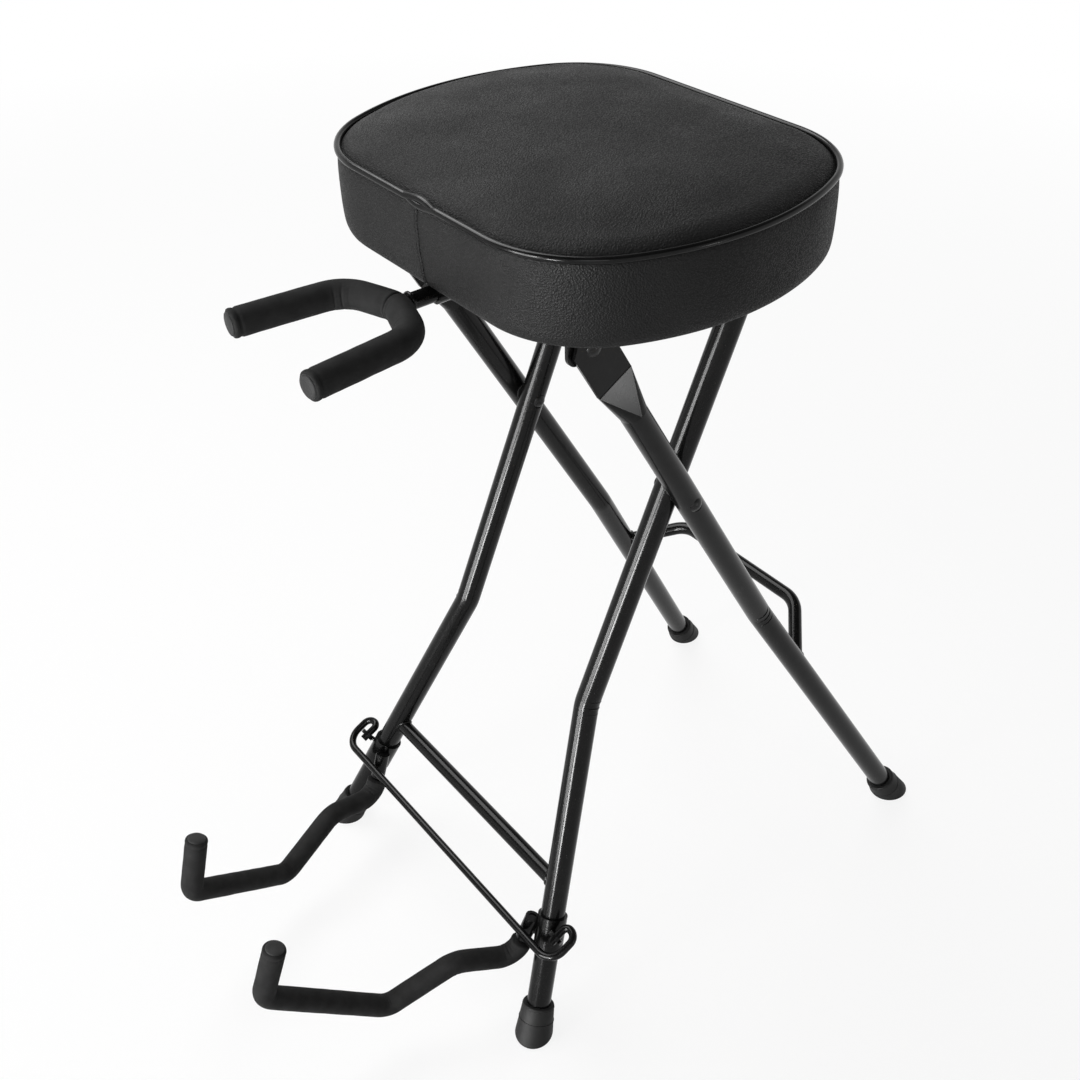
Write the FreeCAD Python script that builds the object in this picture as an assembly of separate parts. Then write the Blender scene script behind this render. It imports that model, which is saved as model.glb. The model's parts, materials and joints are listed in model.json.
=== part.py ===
import FreeCAD, Part
import math
import os

# A folding guitar stool with a neck yoke and two cradle arms.
# Millimetres. Floor at Z = 0, +X toward the footrest, near side at -Y.

# Leg frames, two bent tube frames crossed at the scissor rivets
leg_radius = 11.0
leg_wall = 1.5
pivot_x = 37.2
pivot_height = 488.0
inner_lean = math.radians(21.0)
outer_lean = math.radians(32.5)
upper_arm = 198.0
inner_half_width = 89.5
leg_gap = 1.0
inner_knee = 210.0
outer_knee = 200.0
foot_spread = 166.0
knee_radius = 40.0
top_bend_radius = 45.0

# Flattened upper ends of the outer legs
flat_thickness = 3.0
flat_width = 33.0
crease_to_bolt = 39.0
flat_past_bolt = 13.0
pinch_length = 36.0
flat_corner = 8.0

# Scissor rivets
rivet_radius = 3.0
rivet_head_radius = 6.0
rivet_head_height = 2.8
rivet_sink = 0.9
spacer_radius = 8.0

# Cross members
crossbar_radius = 7.0
crossbar_height = 135.0
footrest_radius = 6.5
footrest_height = 240.0
footrest_tilt = math.radians(30.0)
footrest_reach = 52.0
footrest_half_front = 78.0
footrest_bend = 30.0

# Rubber feet
foot_wall = 3.5
foot_flare = 3.0
foot_height = 31.0
foot_floor = 13.0
foot_edge = 2.0

# Seat, in its own frame: X along the seat from the hinge, Z up from the hinge
seat_tilt = 3.0
seat_depth = 286.0
seat_width = 360.0
seat_corner_radius = 90.0
seat_end_radius = 215.0
seat_overhang = 61.0
boxing_height = 62.0
crown_height = 14.0
side_bulge = 2.6
board_thickness = 12.0
board_inset = 9.0
piping_radius = 2.3

# Seat hinge brackets and bolts
sheet = 3.0
ear_half_width = 20.0
ear_below_bolt = 11.0
ear_corner = 8.0
flange_reach = 34.0
bolt_radius = 4.0
bolt_head_radius = 6.5
bolt_head_height = 3.6
hinge_washer = 0.8
hinge_washer_radius = 9.0
nut_radius = 7.2
nut_height = 4.0

# Catches under the seat that hold the top bar of the inner frame
catch_width = 24.0
catch_middle = 29.0
catch_flange = 30.0
catch_lip_angle = 10.0

# Screws into the seat board
screw_radius = 2.0
screw_length = 9.0
screw_head_radius = 4.3
screw_head_height = 2.4

# Neck yoke and the guide it slides in
yoke_tube_radius = 6.25
yoke_tube_wall = 1.5
guide_radius = 8.3
guide_start = -52.0
guide_end = 58.0
guide_plate_half = 26.0
guide_plate = 2.0
yoke_travel = 50.0
yoke_rod_radius = 5.0
yoke_foam_radius = 10.75
yoke_base = -82.5
yoke_shoulder = -98.0
yoke_tip = -184.0
yoke_half_shoulder = 45.0
yoke_half_tip = 54.0
yoke_bend = 28.0
yoke_foam_gap = 0.2
stop_pin_radius = 2.5
stop_pin_half = 10.0

# Cradle arms: profile from the swivel socket, outward and up along the socket
arm_rod_radius = 4.0
arm_foam_radius = 10.0
arm_toe_in = math.radians(14.0)
arm_drop = 38.0
arm_shelf = 62.0
arm_low_reach = 113.0
arm_low = 88.0
arm_corner_reach = 236.0
arm_corner = 56.0
arm_tip_reach = 241.0
arm_tip = 2.0
arm_bends = (18.0, 26.0, 16.0, 14.0)
tip_plug = 2.0
tip_plug_radius = 8.0

# Collars on the inner legs, with a socket for the arm and an eye for the wire
collar_wall = 2.5
collar_start = 88.0
collar_end = 120.0
socket_at = 102.0
socket_overlap = 0.1
socket_angle = math.radians(52.0)
socket_radius = 7.0
socket_half = 13.0
eye_radius = 7.0
eye_thickness = 4.0
eye_along = 19.0
collar_screw_radius = 2.5
collar_screw_head = 4.6

# Tie wire between the two collars, bent in one tilted plane ahead of the inner legs
wire_radius = 3.6
wire_height = 98.0
wire_ahead = 25.7
wire_tilt = math.radians(28.0)
hook_outer = 31.7
hook_depth = 33.0
hook_tip = 17.7
hook_tip_end = 13.0
hook_bends = (16.0, 8.5, 5.0)

# Fits
running_fit = 0.05
snug_fit = 0.05
weld_gap = 0.1
soft_gap = 0.3
groove_gap = 0.6

V = FreeCAD.Vector
X_AXIS = V(1, 0, 0)
Y_AXIS = V(0, 1, 0)
Z_AXIS = V(0, 0, 1)
ORIGIN = V(0, 0, 0)
SIDES = {"near": -1, "far": 1}
outer_half_width = inner_half_width + 2 * leg_radius + leg_gap
foot_top_radius = leg_radius + foot_wall
foot_base_radius = foot_top_radius + foot_flare
collar_radius = leg_radius + collar_wall
socket_offset = collar_radius + socket_radius - socket_overlap


def cylinder(radius, start, end):
    return Part.makeCylinder(radius, (end - start).Length, start, end - start)


def bent_path(points, bends):
    """Wire through the points, each inner corner rounded to its bend radius."""
    edges = []
    start = points[0]
    for before, corner, after, radius in zip(points, points[1:], points[2:], bends):
        back = (before - corner).normalize()
        ahead = (after - corner).normalize()
        half_angle = back.getAngle(ahead) / 2
        reach = radius / math.tan(half_angle)
        middle = (back + ahead).normalize() * (radius / math.sin(half_angle) - radius)
        edges.append(Part.makeLine(start, corner + back * reach))
        edges.append(Part.Arc(corner + back * reach, corner + middle, corner + ahead * reach).toShape())
        start = corner + ahead * reach
    edges.append(Part.makeLine(start, points[-1]))
    return Part.Wire(edges)


def sweep(path, radius):
    """Solid round bar along a path of lines and arcs."""
    pieces = []
    for edge in path.OrderedEdges:
        start = edge.valueAt(edge.FirstParameter)
        disc = Part.Face(Part.Wire(Part.makeCircle(radius, start, edge.tangentAt(edge.FirstParameter))))
        if isinstance(edge.Curve, Part.Circle):
            turn = math.degrees(edge.LastParameter - edge.FirstParameter)
            pieces.append(disc.revolve(edge.Curve.Center, edge.Curve.Axis, turn))
        else:
            pieces.append(disc.extrude(edge.valueAt(edge.LastParameter) - start))
    return pieces[0].fuse(pieces[1:]).removeSplitter()


def dome(radius, height, base, direction):
    """Low domed head standing on a flat base."""
    ball = (radius * radius + height * height) / (2 * height)
    sphere = Part.makeSphere(ball, base + direction * (height - ball))
    return sphere.common(cylinder(radius, base, base + direction * (height + 1)))


def on_inner(distance, y):
    """Point on the inner frame, by its distance above the scissor pivot."""
    return V(pivot_x + distance * math.sin(inner_lean), y, pivot_height + distance * math.cos(inner_lean))


def on_outer(distance, y):
    """Point on the outer frame, by its distance above the scissor pivot."""
    return V(pivot_x - distance * math.sin(outer_lean), y, pivot_height + distance * math.cos(outer_lean))


def inner_foot(side):
    return on_inner(-pivot_height / math.cos(inner_lean), side * foot_spread)


def outer_foot(side):
    return on_outer(-pivot_height / math.cos(outer_lean), side * foot_spread)


def up_from(foot, knee, distance):
    return foot + (knee - foot).normalize() * distance


def inner_knee_point(side):
    return on_inner(-inner_knee, side * inner_half_width)


def outer_knee_point(side):
    return on_outer(-outer_knee, side * outer_half_width)


def inner_leg_at(side, height):
    """Point on the axis of an inner lower leg at a height above the floor."""
    foot = inner_foot(side)
    knee = inner_knee_point(side)
    return foot + (knee - foot) * (height / knee.z)


def outer_leg_at(side, height):
    foot = outer_foot(side)
    knee = outer_knee_point(side)
    return foot + (knee - foot) * (height / knee.z)


def rivet_seats(y_crown, inward):
    """Dimple in a tube wall under a rivet head."""
    crown = V(pivot_x, y_crown, pivot_height)
    return cylinder(rivet_head_radius + 0.3, crown + inward * rivet_sink, crown - inward * 3)


def rivet_hole(side, fit):
    centre = V(pivot_x, side * (inner_half_width + outer_half_width) / 2, pivot_height)
    return cylinder(rivet_radius + fit, centre - Y_AXIS * 40, centre + Y_AXIS * 40)


def pinched_end(side):
    """Solid where the round outer leg is pressed flat, and the flat end itself.

    The pressed wall is four flat triangles and four oblique cones between
    the four corners of the crease and the quarters of the tube's circle.
    """
    along = on_outer(1, 0) - on_outer(0, 0)
    across = V(along.z, 0, -along.x)
    round_end = on_outer(upper_arm - crease_to_bolt - pinch_length, side * outer_half_width)
    crease = on_outer(upper_arm - crease_to_bolt, side * outer_half_width)
    turns = [across, Y_AXIS, across * -1, Y_AXIS * -1]
    corners = []
    faces = []
    arcs = []
    for turn, after in zip(turns, turns[1:] + turns[:1]):
        width = (turn + after).dot(across) * flat_width / 2
        depth = (turn + after).dot(Y_AXIS) * flat_thickness / 2
        corner = crease + across * width + Y_AXIS * depth
        start = round_end + turn * leg_radius
        middle = round_end + (turn + after).normalize() * leg_radius
        arc = Part.Arc(start, middle, round_end + after * leg_radius).toShape()
        faces += Part.makeLoft([Part.Wire(arc), Part.Vertex(corner)], False, True).Faces
        corners.append(corner)
        arcs.append(arc)
    for turn, before, corner in zip(turns, corners[-1:] + corners[:-1], corners):
        faces.append(Part.Face(Part.makePolygon([before, corner, round_end + turn * leg_radius, before])))
    faces.append(Part.Face(Part.makePolygon(corners + corners[:1])))
    faces.append(Part.Face(Part.Wire(arcs)))
    shell = Part.makeShell(faces)
    shell.sewShape()
    pinch = Part.makeSolid(shell)

    length = crease_to_bolt + flat_past_bolt
    half = flat_width / 2
    outline = [(0, -half), (length - flat_corner, -half), (length, flat_corner - half),
               (length, half - flat_corner), (length - flat_corner, half), (0, half), (0, -half)]
    lower = crease - Y_AXIS * (flat_thickness / 2)
    plate = Part.Face(Part.makePolygon([lower + along * a + across * b for a, b in outline]))
    return [pinch, plate.extrude(Y_AXIS * flat_thickness)]


def hinge_hole(side, fit):
    bolt = on_outer(upper_arm, side * outer_half_width)
    return cylinder(bolt_radius + fit, bolt - Y_AXIS * 20, bolt + Y_AXIS * 20)


def outer_leg(side):
    foot = outer_foot(side)
    knee = outer_knee_point(side)
    top = on_outer(upper_arm - crease_to_bolt - pinch_length, side * outer_half_width)
    path = bent_path([up_from(foot, knee, foot_floor), knee, top], [knee_radius])
    tube = sweep(path, leg_radius).cut(sweep(path, leg_radius - leg_wall))
    leg = tube.fuse(pinched_end(side)).removeSplitter()
    crown = side * (outer_half_width + leg_radius)
    holes = [rivet_hole(side, snug_fit), rivet_seats(crown, Y_AXIS * -side), hinge_hole(side, running_fit)]
    return leg.cut(holes)


def inner_frame():
    points = []
    for side in (-1, 1):
        foot = inner_foot(side)
        knee = inner_knee_point(side)
        half = [up_from(foot, knee, foot_floor), knee, on_inner(upper_arm, side * inner_half_width)]
        points += half if side < 0 else half[::-1]
    path = bent_path(points, [knee_radius, top_bend_radius, top_bend_radius, knee_radius])
    tube = sweep(path, leg_radius).cut(sweep(path, leg_radius - leg_wall))
    holes = []
    for side in (-1, 1):
        crown = side * (inner_half_width - leg_radius)
        holes += [rivet_hole(side, running_fit), rivet_seats(crown, Y_AXIS * side)]
    return tube.cut(holes)


def scissor_rivet(side):
    inside = V(pivot_x, side * (inner_half_width - leg_radius + rivet_sink), pivot_height)
    outside = V(pivot_x, side * (outer_half_width + leg_radius - rivet_sink), pivot_height)
    shank = cylinder(rivet_radius, inside, outside)
    heads = [dome(rivet_head_radius, rivet_head_height, inside, Y_AXIS * -side),
             dome(rivet_head_radius, rivet_head_height, outside, Y_AXIS * side)]
    return shank.fuse(heads).removeSplitter()


def scissor_spacer(side):
    inside = V(pivot_x, side * (inner_half_width + leg_radius + running_fit), pivot_height)
    outside = V(pivot_x, side * (outer_half_width - leg_radius - running_fit), pivot_height)
    return cylinder(spacer_radius, inside, outside).cut(rivet_hole(side, snug_fit))


def rubber_foot(foot, knee):
    """Tapered cap on the end of a leg, trimmed flat where it meets the floor."""
    direction = (knee - foot).normalize()
    below = foot - direction * 30
    taper = (foot_base_radius - foot_top_radius) / foot_height
    cap = Part.makeCone(foot_base_radius + 30 * taper, foot_top_radius, foot_height + 30, below, direction)
    rim = [edge for edge in cap.Edges if edge.Length < 2 * math.pi * (foot_top_radius + 0.1)
           and edge.CenterOfMass.distanceToPoint(foot + direction * foot_height) < 0.1]
    cap = cap.makeFillet(1.5, rim)
    cap = cap.cut(Part.makeBox(200, 200, 100, V(foot.x - 100, foot.y - 100, -100)))
    sole = [edge for edge in cap.Edges if edge.BoundBox.ZMax < 0.01]
    cap = cap.makeFillet(foot_edge, sole)
    seat = foot + direction * foot_floor
    return cap.cut(cylinder(leg_radius + snug_fit, seat, seat + direction * 60))


def crossbar():
    ends = [inner_leg_at(side, crossbar_height) for side in (-1, 1)]
    bar = cylinder(crossbar_radius, ends[0], ends[1])
    for side in (-1, 1):
        leg = cylinder(leg_radius + weld_gap, inner_foot(side), inner_knee_point(side))
        bar = bar.cut(leg)
    return max(bar.Solids, key=lambda solid: solid.Volume)


def footrest():
    out = V(math.cos(footrest_tilt), 0, math.sin(footrest_tilt)) * footrest_reach
    near, far = (outer_leg_at(side, footrest_height) for side in (-1, 1))
    front = [V(near.x, side * footrest_half_front, near.z) + out for side in (-1, 1)]
    bar = sweep(bent_path([near, front[0], front[1], far], [footrest_bend] * 2), footrest_radius)
    for side in (-1, 1):
        bar = bar.cut(cylinder(leg_radius + weld_gap, outer_foot(side), outer_knee_point(side)))
    return max(bar.Solids, key=lambda solid: solid.Volume)


# Seat frame: the bar of the inner frame and the underside, measured from the hinge
hinge = on_outer(upper_arm, 0)
bar_offset = FreeCAD.Rotation(Y_AXIS, seat_tilt).multVec(on_inner(upper_arm, 0) - hinge)
catch_thickness = sheet
underside = bar_offset.z + leg_radius + soft_gap + catch_thickness
seat_middle = seat_depth / 2 - seat_overhang
yoke_height = underside - guide_radius - weld_gap


def on_seat(shape):
    """Carry a shape from the seat's own frame to its place on the stool."""
    placed = shape.copy()
    placed.rotate(ORIGIN, Y_AXIS, -seat_tilt)
    placed.translate(hinge)
    return placed


def seat_outline(inset, height):
    """Seat outline: straight sides, round corners and gently curved ends."""
    half_depth = seat_depth / 2 - inset
    half_width = seat_width / 2 - inset
    corner = seat_corner_radius - inset
    end = seat_end_radius - inset
    corner_x = half_depth - corner
    corner_y = math.sqrt((end - corner) ** 2 - corner_x ** 2) - (end - half_width)
    slope = math.atan2(corner_x, corner_y + end - half_width)

    def point(x, y):
        return V(seat_middle + x, y, underside + height)

    def on_corner(right, top, angle):
        return point(right * (corner_x + corner * math.sin(angle)), top * (corner_y + corner * math.cos(angle)))

    blend = (slope + math.pi / 2) / 2
    edges = []
    for turn in (1, -1):
        edges.append(Part.makeLine(point(turn * half_depth, -turn * corner_y), point(turn * half_depth, turn * corner_y)))
        first = [on_corner(turn, turn, angle) for angle in (math.pi / 2, blend, slope)]
        last = [on_corner(-turn, turn, angle) for angle in (slope, blend, math.pi / 2)]
        edges.append(Part.Arc(*first).toShape())
        edges.append(Part.Arc(first[2], point(0, turn * half_width), last[0]).toShape())
        edges.append(Part.Arc(*last).toShape())
    return Part.Wire(edges)


def seat_slab(inset, bottom, height):
    return Part.Face(seat_outline(inset, bottom)).extrude(Z_AXIS * height)


def piping(extra):
    return sweep(seat_outline(piping_radius - 0.8, boxing_height), piping_radius + extra)


def cushion():
    """Foam and cover: a boxing that bulges at mid-height under a crowned top."""
    sides = [(side_bulge, 0), (side_bulge * 0.3, 5), (0, boxing_height / 2),
             (side_bulge * 0.3, boxing_height - 5), (side_bulge, boxing_height)]
    crown = [(side_bulge, boxing_height), (12, boxing_height + crown_height * 0.52),
             (36, boxing_height + crown_height * 0.88), (80, boxing_height + crown_height)]
    body = Part.makeLoft([seat_outline(*section) for section in sides], True, False)
    top = Part.makeLoft([seat_outline(*section) for section in crown], True, False)
    pocket = seat_slab(board_inset - soft_gap, -1, board_thickness + 1 + soft_gap)
    return body.fuse(top).cut([pocket, piping(groove_gap)])


# Screw places in the seat frame: two in each bracket and catch, four in the guide
bracket_x = (-12.0, 12.0)
bracket_y = outer_half_width - flat_thickness / 2 - hinge_washer - flange_reach + 10
catch_flange_x = bar_offset.x - leg_radius - catch_flange / 2
guide_x = (guide_start + 18, guide_end - 14)
screw_places = [(x, side * bracket_y, sheet) for x in bracket_x for side in (-1, 1)]
screw_places += [(catch_flange_x, side * catch_middle + offset, catch_thickness)
                 for side in (-1, 1) for offset in (-6, 6)]
screw_places += [(x, side * (guide_plate_half - 7), guide_plate) for x in guide_x for side in (-1, 1)]


def screw(x, y, under, extra=0.0):
    """Pan-head wood screw up through a plate into the seat board."""
    seat = V(x, y, underside - under)
    shank = cylinder(screw_radius + extra, seat, seat + Z_AXIS * (under + screw_length + extra))
    if extra:
        return shank
    head = Part.makeCone(screw_head_radius, screw_head_radius - 1.2, screw_head_height, seat, Z_AXIS * -1)
    return shank.fuse(head).removeSplitter()


screw_holes = [screw(*place, extra=snug_fit) for place in screw_places]


def seat_board():
    return seat_slab(board_inset, 0, board_thickness).cut(screw_holes)


def hinge_bracket(side):
    """Bent sheet bracket: a flange under the board and an ear for the hinge bolt."""
    outer = outer_half_width - flat_thickness / 2 - hinge_washer
    inner = outer - flange_reach
    ear = Part.makeBox(2 * ear_half_width, sheet, underside + ear_below_bolt,
                       V(-ear_half_width, outer - sheet, -ear_below_bolt))
    flange = Part.makeBox(2 * ear_half_width, flange_reach, sheet, V(-ear_half_width, inner, underside - sheet))
    lower = [edge for edge in ear.Edges if edge.BoundBox.ZMax < 0.01 - ear_below_bolt and edge.BoundBox.YLength > 1]
    ear = ear.makeFillet(ear_corner, lower)
    bracket = ear.fuse(flange).removeSplitter()
    bend = [edge for edge in bracket.Edges if edge.BoundBox.XLength > 2 * ear_half_width - 0.1
            and abs(edge.CenterOfMass.y - outer) < 0.01 and abs(edge.CenterOfMass.z - underside) < 0.01]
    bracket = bracket.makeFillet(sheet, bend)
    bracket = bracket.cut(cylinder(bolt_radius + snug_fit, V(0, 0, 0), V(0, 200, 0)))
    if side < 0:
        bracket = bracket.mirror(ORIGIN, Y_AXIS)
    return bracket.cut(screw_holes)


def hinge_bolt(side):
    head = V(0, side * (outer_half_width + flat_thickness / 2), 0)
    ear_face = outer_half_width - flat_thickness / 2 - hinge_washer - sheet
    end = V(0, side * (ear_face - nut_height - 0.8), 0)
    return cylinder(bolt_radius, end, head).fuse(dome(bolt_head_radius, bolt_head_height, head, Y_AXIS * side))


def hinge_nut(side):
    ear_face = side * (outer_half_width - flat_thickness / 2 - hinge_washer - sheet)
    corners = [V(nut_radius * math.cos(turn * math.pi / 3), ear_face, nut_radius * math.sin(turn * math.pi / 3))
               for turn in range(7)]
    nut = Part.Face(Part.makePolygon(corners)).extrude(Y_AXIS * (-side * nut_height))
    return nut.cut(cylinder(bolt_radius + snug_fit, V(0, -200, 0), V(0, 200, 0)))


def hinge_washer_ring(side):
    inside = V(0, side * (outer_half_width - flat_thickness / 2 - hinge_washer), 0)
    outside = V(0, side * (outer_half_width - flat_thickness / 2), 0)
    hole = cylinder(bolt_radius + snug_fit, V(0, -200, 0), V(0, 200, 0))
    return cylinder(hinge_washer_radius, inside, outside).cut(hole)


def catch(side):
    """Hook of bent strip that cups the top and outer side of the top bar."""
    middle = V(bar_offset.x, side * catch_middle - catch_width / 2, bar_offset.z)
    inner = leg_radius + soft_gap
    outer = inner + catch_thickness

    def around(radius, angle):
        return middle + V(radius * math.cos(angle), 0, radius * math.sin(angle))

    lip = -math.radians(catch_lip_angle)
    top = math.pi / 2
    half = (lip + top) / 2
    flange_end = V(bar_offset.x - leg_radius - catch_flange, middle.y, underside)
    flange_low = flange_end - Z_AXIS * catch_thickness
    edges = [Part.Arc(around(outer, lip), around(outer, half), around(outer, top)).toShape(),
             Part.makeLine(around(outer, top), flange_end),
             Part.makeLine(flange_end, flange_low),
             Part.makeLine(flange_low, around(inner, top)),
             Part.Arc(around(inner, top), around(inner, half), around(inner, lip)).toShape(),
             Part.makeLine(around(inner, lip), around(outer, lip))]
    return Part.Face(Part.Wire(edges)).extrude(Y_AXIS * catch_width).cut(screw_holes)


def yoke_guide():
    """Sleeve welded under a plate; the yoke tube slides in it."""
    start = V(guide_start, 0, yoke_height)
    end = V(guide_end, 0, yoke_height)
    plate = Part.makeBox(guide_end - guide_start - 8, 2 * guide_plate_half, guide_plate,
                         V(guide_start + 8, -guide_plate_half, underside - guide_plate))
    bore = cylinder(yoke_tube_radius + running_fit, start - X_AXIS, end + X_AXIS)
    return cylinder(guide_radius, start, end).fuse(plate).cut(bore).cut(screw_holes)


def yoke_point(x, y):
    return V(x, y, yoke_height)


def yoke_path():
    """Bent rod of the yoke from the near tip to the far tip, shallow V at the stem."""
    points = [yoke_point(yoke_tip, -yoke_half_tip), yoke_point(yoke_shoulder, -yoke_half_shoulder),
              yoke_point(yoke_base, 0), yoke_point(yoke_shoulder, yoke_half_shoulder),
              yoke_point(yoke_tip, yoke_half_tip)]
    return bent_path(points, [yoke_bend] * 3)


def yoke_rod():
    return sweep(yoke_path(), yoke_rod_radius)


def yoke_foam(side):
    """One of the two sleeves on the yoke rod; they meet at the stem, which enters between them."""
    sleeves = sweep(yoke_path(), yoke_foam_radius).cut(sweep(yoke_path(), yoke_rod_radius + snug_fit))
    reach = 2 * yoke_half_tip
    start = V(yoke_tip - reach, side * yoke_foam_gap - (0 if side > 0 else reach), yoke_height - reach / 2)
    half = sleeves.common(Part.makeBox(3 * reach, reach, reach, start))
    stem = cylinder(yoke_tube_radius + soft_gap, yoke_point(yoke_base - yoke_rod_radius, 0), yoke_point(0, 0))
    return half.cut(stem)


def yoke_plug(side):
    """Thin disc that closes the end of a sleeve on the yoke."""
    shoulder = yoke_point(yoke_shoulder, side * yoke_half_shoulder)
    tip = yoke_point(yoke_tip, side * yoke_half_tip)
    return cylinder(tip_plug_radius, tip, tip + (tip - shoulder).normalize() * tip_plug)


def end_plug(path, radius):
    """Thin disc that closes the end of a foam sleeve."""
    edge = path.OrderedEdges[-1]
    end = edge.valueAt(edge.LastParameter)
    return cylinder(radius, end, end + edge.tangentAt(edge.LastParameter) * tip_plug)


def stop_pin_place():
    return guide_end + yoke_travel + stop_pin_radius + 0.5


def yoke_tube():
    end = stop_pin_place() + 10
    start = V(yoke_base, 0, yoke_height)
    tube = cylinder(yoke_tube_radius, start, V(end, 0, yoke_height))
    bore = cylinder(yoke_tube_radius - yoke_tube_wall, start + X_AXIS * 20, V(end + 1, 0, yoke_height))
    rod = cylinder(yoke_rod_radius + weld_gap, start - Y_AXIS * 20, start + Y_AXIS * 20)
    tube = tube.cut([bore, rod, stop_pin(snug_fit)])
    return max(tube.Solids, key=lambda solid: solid.Volume)


def stop_pin(extra):
    middle = V(stop_pin_place(), 0, yoke_height)
    return cylinder(stop_pin_radius + extra, middle - Y_AXIS * stop_pin_half, middle + Y_AXIS * stop_pin_half)


# Cradle arms and the collars that hold them on the inner lower legs


def leg_direction(side):
    return (inner_knee_point(side) - inner_foot(side)).normalize()


def socket_centre(side):
    direction = leg_direction(side)
    toward = V(-math.cos(socket_angle), -side * math.sin(socket_angle), 0)
    square = (toward - direction * toward.dot(direction)).normalize()
    return inner_foot(side) + direction * socket_at + square * socket_offset


def arm_axes(side):
    """Outward and upward directions of an arm; the arm swivels about the second."""
    level = V(-math.cos(arm_toe_in), -side * math.sin(arm_toe_in), 0)
    outward = level * math.cos(inner_lean) + Z_AXIS * math.sin(inner_lean)
    upward = Z_AXIS * math.cos(inner_lean) - level * math.sin(inner_lean)
    return outward, upward


def arm_path(side, start):
    outward, upward = arm_axes(side)
    profile = [(0, start), (0, -arm_drop), (arm_shelf, -arm_drop), (arm_low_reach, -arm_low),
               (arm_corner_reach, -arm_corner), (arm_tip_reach, arm_tip)]
    centre = socket_centre(side)
    return bent_path([centre + outward * reach + upward * rise for reach, rise in profile], arm_bends)


def arm_rod(side):
    return sweep(arm_path(side, socket_half - 1), arm_rod_radius)


def arm_foam(side):
    path = arm_path(side, -socket_half - 4)
    return sweep(path, arm_foam_radius).cut(sweep(path, arm_rod_radius + snug_fit))


def wire_point(side, outside, depth):
    """Point in the wire's tilted plane, by its distance outside a leg and its depth toward the legs."""
    leg = inner_leg_at(side, wire_height)
    tilted = V(depth * math.cos(wire_tilt) - wire_ahead, side * outside, depth * math.sin(wire_tilt))
    return leg + tilted


def tie_wire():
    hook = [(hook_tip, hook_tip_end), (hook_tip, hook_depth), (hook_outer, hook_depth), (hook_outer, 0)]
    points = [wire_point(-1, outside, depth) for outside, depth in hook]
    points += [wire_point(1, outside, depth) for outside, depth in reversed(hook)]
    bends = hook_bends[::-1] + hook_bends
    return sweep(bent_path(points, bends), wire_radius)


def collar(side):
    """Sleeve on the leg with a socket for the arm rod and an eye for the wire."""
    foot = inner_foot(side)
    direction = leg_direction(side)
    outward, upward = arm_axes(side)
    socket = socket_centre(side)
    on_leg = foot + direction * socket_at
    sleeve = cylinder(collar_radius, foot + direction * collar_start, foot + direction * collar_end)
    barrel = cylinder(socket_radius, socket - upward * socket_half, socket + upward * socket_half)
    web = cylinder(5, on_leg, socket)
    eye_middle = wire_point(side, hook_tip, eye_along)
    into = (wire_point(side, 0, 1) - wire_point(side, 0, 0)).normalize()
    eye = cylinder(eye_radius, eye_middle - into * (eye_thickness / 2), eye_middle + into * (eye_thickness / 2))
    anchor = foot + direction * direction.dot(eye_middle - foot)
    stem = cylinder(eye_thickness / 2, anchor, eye_middle)
    body = sleeve.fuse([barrel, web, eye, stem])
    bores = [cylinder(leg_radius + snug_fit, foot, inner_knee_point(side)),
             cylinder(arm_rod_radius + running_fit, socket - upward * 40, socket + upward * 40),
             cylinder(wire_radius + soft_gap, eye_middle - into * 10, eye_middle + into * 10),
             collar_screw(side, snug_fit)]
    return body.cut(bores).removeSplitter()


def collar_screw(side, extra=0.0):
    """Set screw through the back of a collar, against the leg."""
    direction = leg_direction(side)
    middle = inner_foot(side) + direction * (collar_start + collar_end) / 2
    back = (X_AXIS - direction * X_AXIS.dot(direction)).normalize()
    tip = middle + back * (leg_radius + snug_fit)
    seat = middle + back * (collar_radius + 0.6)
    shank = cylinder(collar_screw_radius + extra, tip, seat)
    if extra:
        return shank
    return shank.fuse(dome(collar_screw_head, 2.6, seat, back)).removeSplitter()


def group(make):
    return Part.makeCompound([make(side) for side in SIDES.values()])


parts = {
    "inner_frame_tube": inner_frame(),
    "lower_crossbar": crossbar(),
    "footrest_bar": footrest(),
    "scissor_rivets": group(scissor_rivet),
    "scissor_spacers": group(scissor_spacer),
    "tie_wire": tie_wire(),
    "collar_screws": group(collar_screw),
    "seat_cushion": on_seat(cushion()),
    "seat_piping": on_seat(piping(0)),
    "seat_board": on_seat(seat_board()),
    "hinge_bolts": on_seat(group(hinge_bolt)),
    "hinge_nuts": on_seat(group(hinge_nut)),
    "hinge_washers": on_seat(group(hinge_washer_ring)),
    "seat_screws": on_seat(Part.makeCompound([screw(*place) for place in screw_places])),
    "yoke_guide": on_seat(yoke_guide()),
    "yoke_tube": on_seat(yoke_tube()),
    "yoke_rod": on_seat(yoke_rod()),
    "yoke_stop_pin": on_seat(stop_pin(0)),
}
for name, side in SIDES.items():
    parts["outer_leg_" + name] = outer_leg(side)
    parts["outer_foot_" + name] = rubber_foot(outer_foot(side), outer_knee_point(side))
    parts["inner_foot_" + name] = rubber_foot(inner_foot(side), inner_knee_point(side))
    parts["hinge_bracket_" + name] = on_seat(hinge_bracket(side))
    parts["catch_" + name] = on_seat(catch(side))
    parts["yoke_foam_" + name] = on_seat(yoke_foam(side))
    parts["yoke_plug_" + name] = on_seat(yoke_plug(side))
    parts["collar_" + name] = collar(side)
    parts["arm_rod_" + name] = arm_rod(side)
    parts["arm_foam_" + name] = arm_foam(side)
    parts["arm_plug_" + name] = end_plug(arm_path(side, 0), tip_plug_radius)

os.makedirs("parts", exist_ok=True)
for name, shape in parts.items():
    shape.exportStep("parts/" + name + ".step")
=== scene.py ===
import json
import math

import bpy
import numpy as np
from mathutils import Matrix, Quaternion, Vector, noise
from mathutils.bvhtree import BVHTree


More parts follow.
